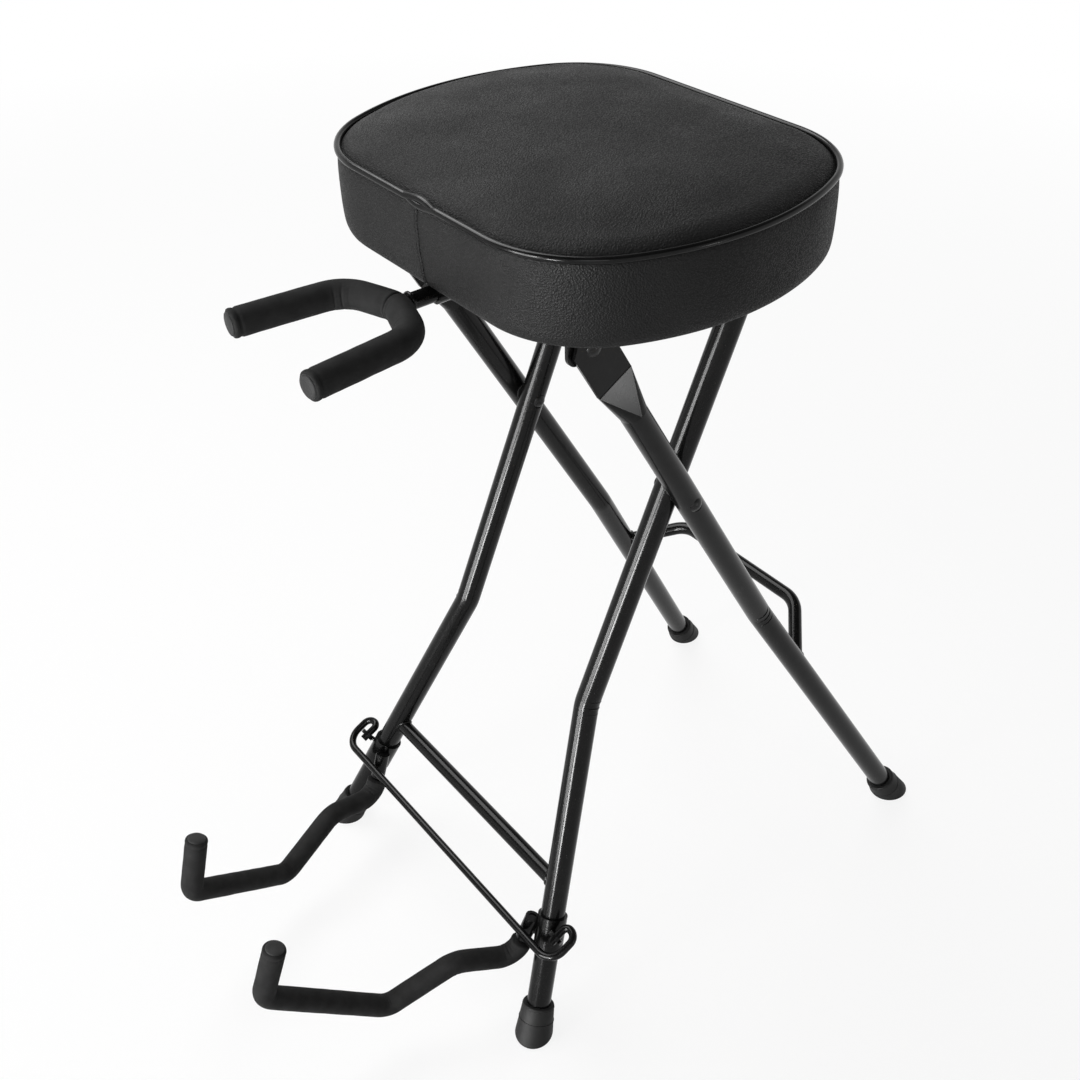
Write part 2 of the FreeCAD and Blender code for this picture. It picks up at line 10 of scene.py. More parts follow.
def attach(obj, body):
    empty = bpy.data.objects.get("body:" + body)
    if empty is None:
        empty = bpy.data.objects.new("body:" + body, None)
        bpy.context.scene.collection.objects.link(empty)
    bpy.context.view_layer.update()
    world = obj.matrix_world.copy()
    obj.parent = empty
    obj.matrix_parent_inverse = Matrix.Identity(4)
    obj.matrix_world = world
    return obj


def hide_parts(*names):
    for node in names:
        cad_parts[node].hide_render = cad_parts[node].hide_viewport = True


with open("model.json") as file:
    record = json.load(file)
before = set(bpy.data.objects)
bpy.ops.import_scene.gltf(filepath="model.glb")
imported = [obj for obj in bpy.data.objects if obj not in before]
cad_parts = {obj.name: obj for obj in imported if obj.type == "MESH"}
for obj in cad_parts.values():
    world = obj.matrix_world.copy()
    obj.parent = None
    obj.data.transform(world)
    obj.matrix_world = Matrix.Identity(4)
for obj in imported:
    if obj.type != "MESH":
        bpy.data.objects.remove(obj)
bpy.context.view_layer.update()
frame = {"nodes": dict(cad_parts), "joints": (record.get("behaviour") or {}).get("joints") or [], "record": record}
scene = bpy.context.scene
joints = {joint["name"]: joint for joint in frame["joints"]}

# Metres, in the frame of the CAD model. The seat has its own frame at the hinge bolts.
seat_tilt = math.radians(3.0)
seat_hinge = Vector(joints["seat_fold"]["pos_m"])
seat_place = Matrix.Translation(seat_hinge) @ Matrix.Rotation(-seat_tilt, 4, "Y")
seat_depth = 0.286
seat_width = 0.360
seat_corner_radius = 0.090
seat_end_radius = 0.215
seat_middle = 0.082
seat_underside = 0.02285
boxing_height = 0.062
board_inset = 0.009
board_thickness = 0.012
swell_cap = 0.008
wrinkle_passes = 12
stuffing_frames = 20
piping_radius = 0.0026
piping_inset = 0.0010
lap_half_length = 0.020
lap_middle = 0.005
lap_drop = 0.0021
lap_rise = 0.0019
lap_tuck = 0.0012
cord_taper = 0.35
tapered_share = 0.3
seam_foot = 0.0035
seam_height = 0.0545
seam_slant = 0.004
seam_waver = 0.0004
stitch_offset = 0.0016
stitch_spacing = 0.0029
staple_spacing = 0.026

# Leg tubes
leg_radius = 0.011
pivot = Vector(joints["leg_fold"]["pos_m"])
inner_lean = math.radians(21.0)
outer_lean = math.radians(32.5)
inner_half_width = 0.0895
outer_half_width = 0.1125
inner_knee = 0.210
outer_knee = 0.200
knee_bend = 0.040
foot_spread = 0.166
crease_above_pivot = 0.159
flat_width = 0.033
flat_thickness = 0.003
crossbar_height = 0.135
crossbar_radius = 0.007
footrest_height = 0.240
footrest_radius = 0.0065
footrest_tilt = math.radians(30.0)
footrest_reach = 0.052
footrest_half_front = 0.078

# Foam sleeves
yoke_height = 0.01445
yoke_base = -0.0825
yoke_tube_end = yoke_base + 0.0102
yoke_shoulder = -0.098
yoke_tip = -0.184
yoke_half_shoulder = 0.045
yoke_half_tip = 0.054
yoke_bend = 0.028
yoke_tube_radius = 0.00625
yoke_foam_radius = 0.01075
arm_toe_in = math.radians(14.0)
arm_profile = [(0, -0.017), (0, -0.038), (0.062, -0.038), (0.113, -0.088), (0.236, -0.056), (0.241, 0.002)]
arm_bends = [0.018, 0.026, 0.016, 0.014]
arm_foam_radius = 0.010
foam_step = 0.001
foam_waver = 0.00018
tip_groove_depth = 0.0007
tip_groove_place = 0.0052
crease_width = 0.0009
end_disc_inset = 0.0021
# Place along a bend and depth of each fold
bend_folds = [(0.28, 0.0004), (0.52, 0.0009), (0.76, 0.0005)]

SIDES = {"near": -1, "far": 1}

# Low, so that black finishes stay black beside a white floor
surface_ior = 1.2
# Share of the seen background that lights surfaces
room_light = 0.45


# Node trees

def add_node(tree, kind, links=None, **settings):
    """Add a node, set its properties and inputs by name, and link sockets into it."""
    node = tree.nodes.new(kind)
    for name, value in settings.items():
        if hasattr(node, name):
            setattr(node, name, value)
        else:
            node.inputs[name.replace("_", " ").title()].default_value = value
    for name, source in (links or {}).items():
        tree.links.new(source, node.inputs[name])
    return node


def new_material(name, roughness, specular=0.5, metallic=0.0):
    """A principled material; returns the material, its tree, its shader and its object coordinates."""
    material = bpy.data.materials.new(name)
    material.use_nodes = True
    tree = material.node_tree
    shader = tree.nodes["Principled BSDF"]
    shader.inputs["Roughness"].default_value = roughness
    shader.inputs["IOR"].default_value = surface_ior
    shader.inputs["Specular IOR Level"].default_value = specular
    shader.inputs["Metallic"].default_value = metallic
    place = add_node(tree, "ShaderNodeTexCoord").outputs["Object"]
    return material, tree, shader, place


def remap(tree, value, before, after):
    """A value spread from one range over another."""
    spread = add_node(tree, "ShaderNodeMapRange", {"Value": value})
    for name, number in zip(("From Min", "From Max", "To Min", "To Max"), (*before, *after)):
        spread.inputs[name].default_value = number
    return spread.outputs["Result"]


def noise_map(tree, place, scale, low, high, detail=3.0):
    """Noise spread between two values."""
    cloud = add_node(tree, "ShaderNodeTexNoise", {"Vector": place}, scale=scale, detail=detail)
    return remap(tree, cloud.outputs["Fac"], (0.3, 0.7), (low, high))


def tint(tree, amount, dark, light):
    """Colour between two colours by an amount from 0 to 1."""
    mix = add_node(tree, "ShaderNodeMix", data_type="RGBA")
    mix.inputs[6].default_value = (*dark, 1)
    mix.inputs[7].default_value = (*light, 1)
    tree.links.new(amount, mix.inputs[0])
    return mix.outputs[2]


def mottle(tree, shader, amount, dark, light):
    """Base colour that drifts between two greys."""
    tree.links.new(tint(tree, amount, (dark,) * 3, (light,) * 3), shader.inputs["Base Color"])


def bump(tree, height, distance, strength, below=None):
    """Normal of a bumpy surface, on top of another bump where one is given."""
    links = {"Height": height}
    if below is not None:
        links["Normal"] = below
    return add_node(tree, "ShaderNodeBump", links, distance=distance, strength=strength).outputs["Normal"]


# Finishes

def painted_tube():
    """Gloss black enamel: faint orange peel and handling marks in the gloss."""
    material, tree, shader, place = new_material("gloss_black_enamel", 0.18, 0.75)
    tree.links.new(noise_map(tree, place, 38.0, 0.165, 0.19, 5.0), shader.inputs["Roughness"])
    mottle(tree, shader, noise_map(tree, place, 120.0, 0.0, 1.0, 6.0), 0.0030, 0.0060)
    peel = add_node(tree, "ShaderNodeTexNoise", {"Vector": place}, scale=420.0, detail=1.5)
    tree.links.new(bump(tree, peel.outputs["Fac"], 0.0001, 0.01), shader.inputs["Normal"])
    return material


def leatherette():
    """Black vinyl with a fine pebble grain that shines less in its hollows."""
    material, tree, shader, place = new_material("black_leatherette", 0.5, 0.5)
    drift = add_node(tree, "ShaderNodeTexNoise", {"Vector": place}, scale=260.0, detail=2.0)
    offset = add_node(tree, "ShaderNodeVectorMath", {0: drift.outputs["Color"]}, operation="SCALE")
    offset.inputs["Scale"].default_value = 0.0010
    bent = add_node(tree, "ShaderNodeVectorMath", {0: place, 1: offset.outputs[0]}, operation="ADD")
    pebble = add_node(tree, "ShaderNodeTexVoronoi", {"Vector": bent.outputs[0]},
                      feature="SMOOTH_F1", scale=780.0)
    pebble.inputs["Smoothness"].default_value = 0.35
    grain = bump(tree, pebble.outputs["Distance"], -0.0005, 1.0)
    pore = add_node(tree, "ShaderNodeTexNoise", {"Vector": place}, scale=2600.0, detail=2.0)
    tree.links.new(bump(tree, pore.outputs["Fac"], 0.00008, 0.25, grain), shader.inputs["Normal"])
    rub = noise_map(tree, place, 22.0, -0.06, 0.07, 4.0)
    hollow = remap(tree, pebble.outputs["Distance"], (0.15, 0.60), (0.36, 0.66))
    dullness = add_node(tree, "ShaderNodeMath", {0: hollow, 1: rub}, operation="ADD").outputs[0]
    tree.links.new(dullness, shader.inputs["Roughness"])
    mottle(tree, shader, noise_map(tree, place, 9.0, 0.0, 1.0, 4.0), 0.0080, 0.0125)
    return material


def welt_vinyl():
    """Smooth glossy vinyl of the piping, with fine cross creases."""
    material, tree, shader, place = new_material("black_piping_vinyl", 0.2, 0.75)
    crease = add_node(tree, "ShaderNodeTexNoise", {"Vector": place}, scale=900.0, detail=3.0)
    tree.links.new(bump(tree, crease.outputs["Fac"], 0.00005, 0.15), shader.inputs["Normal"])
    tree.links.new(noise_map(tree, place, 150.0, 0.14, 0.22), shader.inputs["Roughness"])
    mottle(tree, shader, noise_map(tree, place, 60.0, 0.0, 1.0), 0.003, 0.006)
    return material


def foam_rubber(name, dark, light, roughness):
    """Closed-cell foam: matt skin with fine cells."""
    material, tree, shader, place = new_material(name, roughness, 0.45)
    cells = add_node(tree, "ShaderNodeTexVoronoi", {"Vector": place}, scale=1500.0)
    pores = add_node(tree, "ShaderNodeTexNoise", {"Vector": place}, scale=420.0, detail=5.0)
    fine = bump(tree, cells.outputs["Distance"], 0.00012, 0.35)
    tree.links.new(bump(tree, pores.outputs["Fac"], 0.0003, 0.3, fine), shader.inputs["Normal"])
    rub = noise_map(tree, place, 70.0, roughness - 0.08, roughness + 0.05)
    tree.links.new(rub, shader.inputs["Roughness"])
    mottle(tree, shader, noise_map(tree, place, 90.0, 0.0, 1.0, 6.0), dark, light)
    return material


def moulded(name, colour, roughness, scale):
    """Moulded rubber or nylon with a fine eroded texture."""
    material, tree, shader, place = new_material(name, roughness, 0.7)
    pits = add_node(tree, "ShaderNodeTexNoise", {"Vector": place}, scale=scale, detail=4.0)
    tree.links.new(bump(tree, pits.outputs["Fac"], 0.0002, 0.3), shader.inputs["Normal"])
    rub = noise_map(tree, place, 45.0, roughness - 0.1, roughness + 0.08)
    tree.links.new(rub, shader.inputs["Roughness"])
    mottle(tree, shader, noise_map(tree, place, 30.0, 0.0, 1.0, 5.0), colour * 0.75, colour * 1.3)
    return material


def black_hardware():
    """Blackened steel fasteners with a slight rub on the coating."""
    material, tree, shader, place = new_material("blackened_steel", 0.3, 1.0)
    mottle(tree, shader, noise_map(tree, place, 420.0, 0.0, 1.0, 5.0), 0.004, 0.011)
    tree.links.new(noise_map(tree, place, 260.0, 0.2, 0.4), shader.inputs["Roughness"])
    return material


def plywood():
    """Birch plywood: long grain on the faces and ply lines on the edge."""
    material, tree, shader, place = new_material("birch_plywood", 0.6, 0.3)
    level = add_node(tree, "ShaderNodeMapping", {"Vector": place})
    level.inputs["Rotation"].default_value = (0, seat_tilt, 0)
    grain_place = add_node(tree, "ShaderNodeMapping", {"Vector": level.outputs[0]})
    grain_place.inputs["Scale"].default_value = (4.0, 70.0, 20.0)
    grain = noise_map(tree, grain_place.outputs[0], 3.0, 0.0, 1.0, 8.0)
    face = tint(tree, grain, (0.42, 0.29, 0.17), (0.62, 0.47, 0.31))
    height = add_node(tree, "ShaderNodeSeparateXYZ", {"Vector": level.outputs[0]}).outputs["Z"]
    plies = add_node(tree, "ShaderNodeMath", {0: height}, operation="PINGPONG")
    plies.inputs[1].default_value = 0.0014
    line = add_node(tree, "ShaderNodeMath", {0: plies.outputs[0]}, operation="GREATER_THAN")
    line.inputs[1].default_value = 0.0008
    mix = add_node(tree, "ShaderNodeMix", data_type="RGBA", blend_type="MULTIPLY")
    mix.inputs[7].default_value = (0.72, 0.62, 0.52, 1)
    tree.links.new(line.outputs[0], mix.inputs[0])
    tree.links.new(face, mix.inputs[6])
    tree.links.new(mix.outputs[2], shader.inputs["Base Color"])
    tree.links.new(bump(tree, grain, 0.0002, 0.3), shader.inputs["Normal"])
    return material


def thread_twist():
    """Bonded black thread."""
    material, tree, shader, place = new_material("black_thread", 0.6, 0.3)
    mottle(tree, shader, noise_map(tree, place, 1800.0, 0.0, 1.0), 0.016, 0.05)
    return material


def bright_wire():
    """Galvanised staple wire."""
    material, tree, shader, place = new_material("staple_wire", 0.35, 0.5, 1.0)
    mottle(tree, shader, noise_map(tree, place, 700.0, 0.0, 1.0), 0.32, 0.5)
    return material


enamel = painted_tube()
vinyl = leatherette()
welt = welt_vinyl()
foam = foam_rubber("black_foam_sleeve", 0.0130, 0.0200, 0.82)
foam_end = foam_rubber("black_foam_end", 0.030, 0.046, 0.6)
rubber = moulded("black_rubber_foot", 0.012, 0.6, 700.0)
nylon = moulded("black_nylon_washer", 0.020, 0.5, 1200.0)
hardware = black_hardware()
birch = plywood()
thread = thread_twist()
staple_wire = bright_wire()

finishes = {"gloss_black_steel": enamel, "black_rubber": rubber, "black_foam": foam,
            "black_hardware": hardware, "black_nylon": nylon, "black_leatherette": vinyl,
            "black_piping": welt, "plywood": birch}
for part in frame["record"]["subparts"]:
    for slot in frame["nodes"][part["node"]].material_slots:
        slot.material = finishes[part["material_slot"]]


# Meshes

def new_piece(name, vertices, faces, material):
    """Smooth-shaded mesh object in one finish."""
    mesh = bpy.data.meshes.new(name)
    mesh.from_pydata([tuple(vertex) for vertex in vertices], [], faces)
    mesh.polygons.foreach_set("use_smooth", [True] * len(faces))
    mesh.materials.append(material)
    mesh.update()
    piece = bpy.data.objects.new(name, mesh)
    scene.collection.objects.link(piece)
    return piece


def skin(rings, ends=True):
    """Vertices and faces of a tube through rings of the same count, with its two ends closed."""
    count = len(rings[0])
    vertices = [point for ring in rings for point in ring]
    faces = []
    for ring in range(len(rings) - 1):
        for step in range(count):
            after = (step + 1) % count
            low, high = ring * count, (ring + 1) * count
            faces.append((low + step, low + after, high + after, high + step))
    if ends:
        last = (len(rings) - 1) * count
        faces.append(tuple(reversed(range(count))))
        faces.append(tuple(range(last, last + count)))
    return vertices, faces


def rounded_path(points, bends, step):
    """Points about a step apart along straight runs, each corner rounded to its bend radius."""
    path = []
    start = points[0]

    def run(first, last):
        count = max(1, round((last - first).length / step))
        return [first.lerp(last, part / count) for part in range(count)]

    for before, corner, after, radius in zip(points, points[1:], points[2:], bends):
        back = (before - corner).normalized()
        ahead = (after - corner).normalized()
        half_angle = back.angle(ahead) / 2
        reach = radius / math.tan(half_angle)
        centre = corner + (back + ahead).normalized() * (radius / math.sin(half_angle))
        arm = corner + back * reach - centre
        axis = arm.cross(corner + ahead * reach - centre)
        turn = math.pi - 2 * half_angle
        count = max(3, round(radius * turn / step))
        path += run(start, centre + arm)
        path += [centre + Quaternion(axis, turn * part / count) @ arm for part in range(count)]
        start = corner + ahead * reach
    return path + run(start, points[-1]) + [points[-1]]


def path_frames(path):
    """Tangent and two square directions at each point, turned as little as possible along the path."""
    neighbours = zip(path[:1] + path[:-1], path[1:] + path[-1:])
    tangents = [(after - before).normalized() for before, after in neighbours]
    side = tangents[0].orthogonal().normalized()
    frames = []
    for tangent in tangents:
        side = (side - tangent * side.dot(tangent)).normalized()
        frames.append((tangent, side, tangent.cross(side)))
    return frames


def round_tube(path, sides, radius_at):
    """Rings along a path; radius_at takes a point's number and the direction out from it."""
    rings = []
    for number, (centre, (tangent, side, up)) in enumerate(zip(path, path_frames(path))):
        ring = []
        for step in range(sides):
            angle = 2 * math.pi * step / sides
            out = side * math.cos(angle) + up * math.sin(angle)
            ring.append(centre + out * radius_at(number, out))
        rings.append(ring)
    return rings


def lathe(base, axis, profile, sides):
    """Rings of a turned form: profile gives radius and height above the base."""
    axis = axis.normalized()
    side = axis.orthogonal().normalized()
    up = axis.cross(side)
    turns = [2 * math.pi * step / sides for step in range(sides)]
    spokes = [side * math.cos(turn) + up * math.sin(turn) for turn in turns]
    return [[base + axis * height + spoke * radius for spoke in spokes] for radius, height in profile]


# Seat cushion

def seat_outline(inset, count):
    """Evenly spaced points round the seat in its own frame, from the middle of the guitar side."""
    half_depth = seat_depth / 2 - inset
    half_width = seat_width / 2 - inset
    corner = seat_corner_radius - inset
    end = seat_end_radius - inset
    corner_x = half_depth - corner
    corner_y = math.sqrt((end - corner) ** 2 - corner_x ** 2) - (end - half_width)
    slope = math.atan2(corner_x, corner_y + end - half_width)
    corner_turn = np.linspace(math.pi / 2, slope, 40)
    end_turn = np.linspace(slope, 0, 20)[1:]
    x = [[half_depth], corner_x + corner * np.sin(corner_turn), end * np.sin(end_turn)]
    y = [[0], corner_y + corner * np.cos(corner_turn), half_width - end + end * np.cos(end_turn)]
    x, y = np.concatenate(x), np.concatenate(y)
    x = np.concatenate([-x, x[-2::-1], x[1:], -x[-2::-1]])
    y = np.concatenate([-y, -y[-2::-1], y[1:], y[-2::-1]])
    along = np.concatenate([[0], np.cumsum(np.hypot(np.diff(x), np.diff(y)))])
    places = np.linspace(0, along[-1], count, endpoint=False)
    return np.stack([seat_middle + np.interp(places, along, x), np.interp(places, along, y)], axis=1)


def seat_ring(inset, height, count):
    """The seat's outline at a height above its underside."""
    flat = seat_outline(inset, count)
    return np.column_stack([flat, np.full(count, seat_underside + height)])


def filled(ring):
    """Grid of points that fills a ring of four equal sides, made by blending its opposite sides."""
    count = len(ring) // 4
    ring = np.roll(ring, -count // 2, axis=0)
    first, right = ring[:count + 1], ring[count:2 * count + 1]
    last = ring[2 * count:3 * count + 1][::-1]
    left = np.concatenate([ring[3 * count:], ring[:1]])[::-1]
    across = np.linspace(0, 1, count + 1)[:, None, None]
    along = np.linspace(0, 1, count + 1)[None, :, None]
    flat = ((1 - along) * first[:, None] + along * last[:, None]
            + (1 - across) * left[None] + across * right[None])
    corners = ((1 - across) * (1 - along) * first[0] + across * (1 - along) * first[-1]
               + (1 - across) * along * last[0] + across * along * last[-1])
    return flat - corners


def fill_faces(ring_start, grid_start, count):
    """Vertex numbers of a filled ring as a square grid, its border taken from the ring."""
    side = count // 4
    numbers = np.zeros((side + 1, side + 1), int)
    inner = np.arange((side - 1) ** 2).reshape(side - 1, side - 1)
    numbers[1:-1, 1:-1] = grid_start + inner
    ring = ring_start + (np.arange(count) + side // 2) % count
    numbers[:, 0] = ring[:side + 1]
    numbers[-1, :] = ring[side:2 * side + 1]
    numbers[::-1, -1] = ring[2 * side:3 * side + 1]
    numbers[0, ::-1] = np.concatenate([ring[3 * side:], ring[:1]])
    return numbers


def cushion_mesh():
    """Cover of the seat before it is stuffed: pocket for the board, hem, boxing and top panel.

    Each level is an inset from the seat's outline and a height above its underside.
    """
    count = 208
    board_fit = 0.0004
    bulge = 0.0006
    tuck = 0.0020
    pocket_inset = board_inset - board_fit
    pocket = [(pocket_inset, board_thickness + board_fit), (pocket_inset, 0.004), (pocket_inset, -0.0002)]
    hem = [(0.0155, -0.0002), (0.0163, -0.0006), (0.0155, -0.0011), (0.0105, -0.0012), (0.0060, -0.0010),
           (0.0034, 0.0002), (0.0020, 0.0022)]
    boxing = [(tuck * abs(2 * part - 1) ** 3 - bulge, boxing_height * part)
              for part in np.linspace(0.1, 0.93, 11)]
    shoulder = [(0.0024, -0.0018), (0.0044, -0.0004), (0.0056, 0.0016), (0.0078, 0.0038),
                (0.0112, 0.0058), (0.0165, 0.0074)]
    levels = pocket + hem + boxing + [(inset, boxing_height + rise) for inset, rise in shoulder]
    first_side = len(pocket + hem)
    last_side = first_side + len(boxing) - 1
    seam = last_side + 2
    vertices = np.concatenate([seat_ring(*level, count) for level in levels])
    faces = skin([range(count)] * len(levels), ends=False)[1]
    pocket_grid = filled(seat_ring(*levels[0], count))[1:-1, 1:-1].reshape(-1, 3)
    top_grid = filled(seat_ring(*levels[-1], count))[1:-1, 1:-1].reshape(-1, 3)
    pocket_start = len(vertices)
    top_start = pocket_start + len(pocket_grid)
    last_ring = (len(levels) - 1) * count
    vertices = np.concatenate([vertices, pocket_grid, top_grid])
    for ring_start, grid_start, upward in ((0, pocket_start, False), (last_ring, top_start, True)):
        numbers = fill_faces(ring_start, grid_start, count)
        corners = [numbers[:-1, :-1], numbers[1:, :-1], numbers[1:, 1:], numbers[:-1, 1:]]
        squares = np.stack(corners, axis=-1).reshape(-1, 4).tolist()
        faces += [tuple(face if upward else face[::-1]) for face in squares]
    free = np.zeros(len(vertices), bool)
    free[first_side * count:(last_side + 1) * count] = True
    free[(seam + 1) * count:pocket_start] = True
    free[top_start:] = True
    return vertices, faces, free


def stuff(piece, free):
    """Swell the free part of a cover by cloth pressure, cap its moves and even out its wrinkles."""
    rest = np.array([vertex.co for vertex in piece.data.vertices])
    held = piece.vertex_groups.new(name="held")
    held.add(np.flatnonzero(~free).tolist(), 1.0, "REPLACE")
    stuffing = piece.modifiers.new("stuffing", "CLOTH")
    cloth = stuffing.settings
    cloth.quality = 6
    cloth.mass = 0.3
    cloth.tension_stiffness = 30
    cloth.compression_stiffness = 30
    cloth.shear_stiffness = 15
    cloth.bending_stiffness = 4
    cloth.air_damping = 2
    cloth.use_pressure = True
    cloth.uniform_pressure_force = 4
    cloth.effector_weights.gravity = 0
    cloth.vertex_group_mass = held.name
    stuffing.point_cache.frame_end = stuffing_frames
    for moment in range(1, stuffing_frames + 1):
        scene.frame_set(moment)
    swollen = piece.evaluated_get(bpy.context.evaluated_depsgraph_get())
    move = np.array([vertex.co for vertex in swollen.data.vertices]) - rest
    piece.modifiers.remove(stuffing)
    piece.vertex_groups.remove(held)
    scene.frame_set(1)
    length = np.linalg.norm(move, axis=1, keepdims=True)
    move *= np.tanh(length / swell_cap) * swell_cap / np.maximum(length, 1e-9)
    first, second = np.array([edge.vertices for edge in piece.data.edges]).T
    shares = np.bincount(np.concatenate([first, second]))[:, None]
    for turn in range(wrinkle_passes):
        around = np.zeros_like(move)
        np.add.at(around, first, move[second])
        np.add.at(around, second, move[first])
        move[free] = (around / shares)[free]
    piece.data.vertices.foreach_set("co", (rest + move).ravel())
    piece.data.update()


cushion_points, cushion_faces, cushion_free = cushion_mesh()
cushion = new_piece("seat_cushion_cover", cushion_points, cushion_faces, vinyl)
stuff(cushion, cushion_free)
cushion.data.transform(seat_place)
smooth = cushion.modifiers.new("smooth", "SUBSURF")
smooth.levels = 1
smooth.render_levels = 1
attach(cushion, "seat")
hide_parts("seat_cushion")


# Foam sleeves

def foam_sleeve(name, path, radius):
    """Foam tube with a rounded end, a ring groove behind it and folds inside its bends."""
    along = np.concatenate([[0], np.cumsum([(b - a).length for a, b in zip(path, path[1:])])])
    total = along[-1]
    turns = [Vector()] + [a + c - 2 * b for a, b, c in zip(path, path[1:], path[2:])] + [Vector()]
    bent = [number for number, turn in enumerate(turns) if turn.length > 0.02 * foam_step]
    runs = np.split(np.array(bent), np.flatnonzero(np.diff(bent) > 1) + 1)
    folds = []
    for run in runs:
        for part, depth in bend_folds:
            number = run[int(len(run) * part)]
            folds.append((along[number], turns[number].normalized(), depth))

    def radius_at(number, out):
        place = along[number]
        size = radius + foam_waver * noise.noise((path[number] + out * 0.01) * 90.0)
        for end, corner in ((total - place, 0.002), (place, 0.001)):
            if end < corner:
                size -= corner * (1 - math.sqrt(1 - (1 - end / corner) ** 2))
        size -= tip_groove_depth * math.exp(-((total - place - tip_groove_place) / crease_width) ** 2)
        for centre, inside, depth in folds:
            facing = out.dot(inside)
            if facing > 0:
                size -= depth * facing ** 2 * math.exp(-((place - centre) / crease_width) ** 2)
        return size

    return new_piece(name, *skin(round_tube(path, 36, radius_at)), foam)


def end_disc(name, path, radius):
    """Low domed disc on the end of a foam sleeve."""
    ahead = (path[-1] - path[-2]).normalized()
    profile = [(radius, -0.0003), (radius, 0.0003), (radius * 0.97, 0.0008), (radius * 0.86, 0.0012),
               (radius * 0.5, 0.0016), (0.0004, 0.0017)]
    return new_piece(name, *skin(lathe(path[-1], ahead, profile, 40)), foam_end)


def yoke_sleeve_path(side):
    """Half of the yoke's rod, from its shallow V at the stem to a tip."""
    points = [(yoke_tip, -yoke_half_tip), (yoke_shoulder, -yoke_half_shoulder), (yoke_base, 0),
              (yoke_shoulder, yoke_half_shoulder), (yoke_tip, yoke_half_tip)]
    corners = [seat_place @ Vector((x, side * y, yoke_height)) for x, y in points]
    path = rounded_path(corners, [yoke_bend] * 3, foam_step)
    return [point for point in path if side * point.y > 0.0003]


def arm_sleeve_path(name, side):
    """Rod of a cradle arm, from its socket to its tip."""
    level = Vector((-math.cos(arm_toe_in), -side * math.sin(arm_toe_in), 0))
    outward = level * math.cos(inner_lean) + Vector((0, 0, math.sin(inner_lean)))
    upward = Vector((0, 0, math.cos(inner_lean))) - level * math.sin(inner_lean)
    socket = Vector(joints["arm_swivel_" + name]["pos_m"])
    corners = [socket + outward * reach + upward * rise for reach, rise in arm_profile]
    return rounded_path(corners, arm_bends, foam_step)


for name, side in SIDES.items():
    for kind, path, radius, body in (("yoke", yoke_sleeve_path(side), yoke_foam_radius, "yoke"),
                                     ("arm", arm_sleeve_path(name, side), arm_foam_radius, "arm_" + name)):
        sleeve = foam_sleeve(f"{kind}_sleeve_{name}", path, radius)
        disc = end_disc(f"{kind}_sleeve_end_{name}", path, radius - end_disc_inset)
        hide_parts(f"{kind}_foam_{name}")
        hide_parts(f"{kind}_plug_{name}")
        for piece in (sleeve, disc):
            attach(piece, body)


# Piping with its overlapped joint on the guitar side

def piping_path():
    """Loop of cord whose two ends lap at the joint; also gives how near its end each point is."""
    count = 900
    loop = seat_ring(piping_inset, boxing_height, count)
    spacing = np.linalg.norm(loop[1] - loop[0])
    half = round(lap_half_length / spacing)
    middle = round(lap_middle / spacing)
    numbers = np.arange(middle - half, middle + half + count + 1)
    points = loop[numbers % count]
    lap = np.zeros(len(numbers))
    lapped = 2 * half + 1
    start = np.arange(lapped) / (lapped - 1)
    lift = np.sin(math.pi * start) ** 1.5
    points[:lapped, 2] -= lap_drop * lift
    points[-lapped:, 2] += lap_rise * lift
    points[-lapped:, 0] += lap_tuck * lift
    lap[:lapped] = 1 - start
    lap[-lapped:] = start
    return [seat_place @ Vector(point) for point in points], lap


cord, cord_lap = piping_path()


def cord_radius(number, out):
    """The cord thins toward its two ends."""
    toward_end = max(0.0, cord_lap[number] - 1 + tapered_share) / tapered_share
    return piping_radius * (1 - cord_taper * toward_end)


piping = new_piece("seat_piping_cord", *skin(round_tube(cord, 14, cord_radius)), welt)
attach(piping, "seat")
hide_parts("seat_piping")


# Seam in the boxing, laid on the stuffed cover
cover = BVHTree.FromObject(cushion, bpy.context.evaluated_depsgraph_get())
out_of_guitar_side = (seat_place.to_3x3() @ Vector((-1, 0, 0))).normalized()
seat_down = (seat_place.to_3x3() @ Vector((0, 0, -1))).normalized()


def on_cover(across, height):
    """Point on the guitar side of the stuffed cover."""
    above = seat_place @ Vector((seat_middle - seat_depth, across, seat_underside + height))
    return cover.ray_cast(above, -out_of_guitar_side)[0]


seam_line = [on_cover(-seam_slant * (1 - part) + seam_waver * math.sin(17 * part),
                      seam_foot + seam_height * part)
             for part in np.linspace(0, 1, 60)]
seam_profile = [(-0.0022, -0.0002), (-0.0012, 0.0004), (-0.0005, 0.00035), (0, -0.0001), (0.0005, 0.00035),
                (0.0012, 0.0004), (0.0022, -0.0002), (0, -0.0012)]
seam_rings = [[point + Vector((0, across, 0)) + out_of_guitar_side * rise for across, rise in seam_profile]
              for point in seam_line]
seam = new_piece("boxing_seam", *skin([ring[::-1] for ring in seam_rings]), vinyl)
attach(seam, "seat")


# Geometry Nodes for what repeats or follows a line

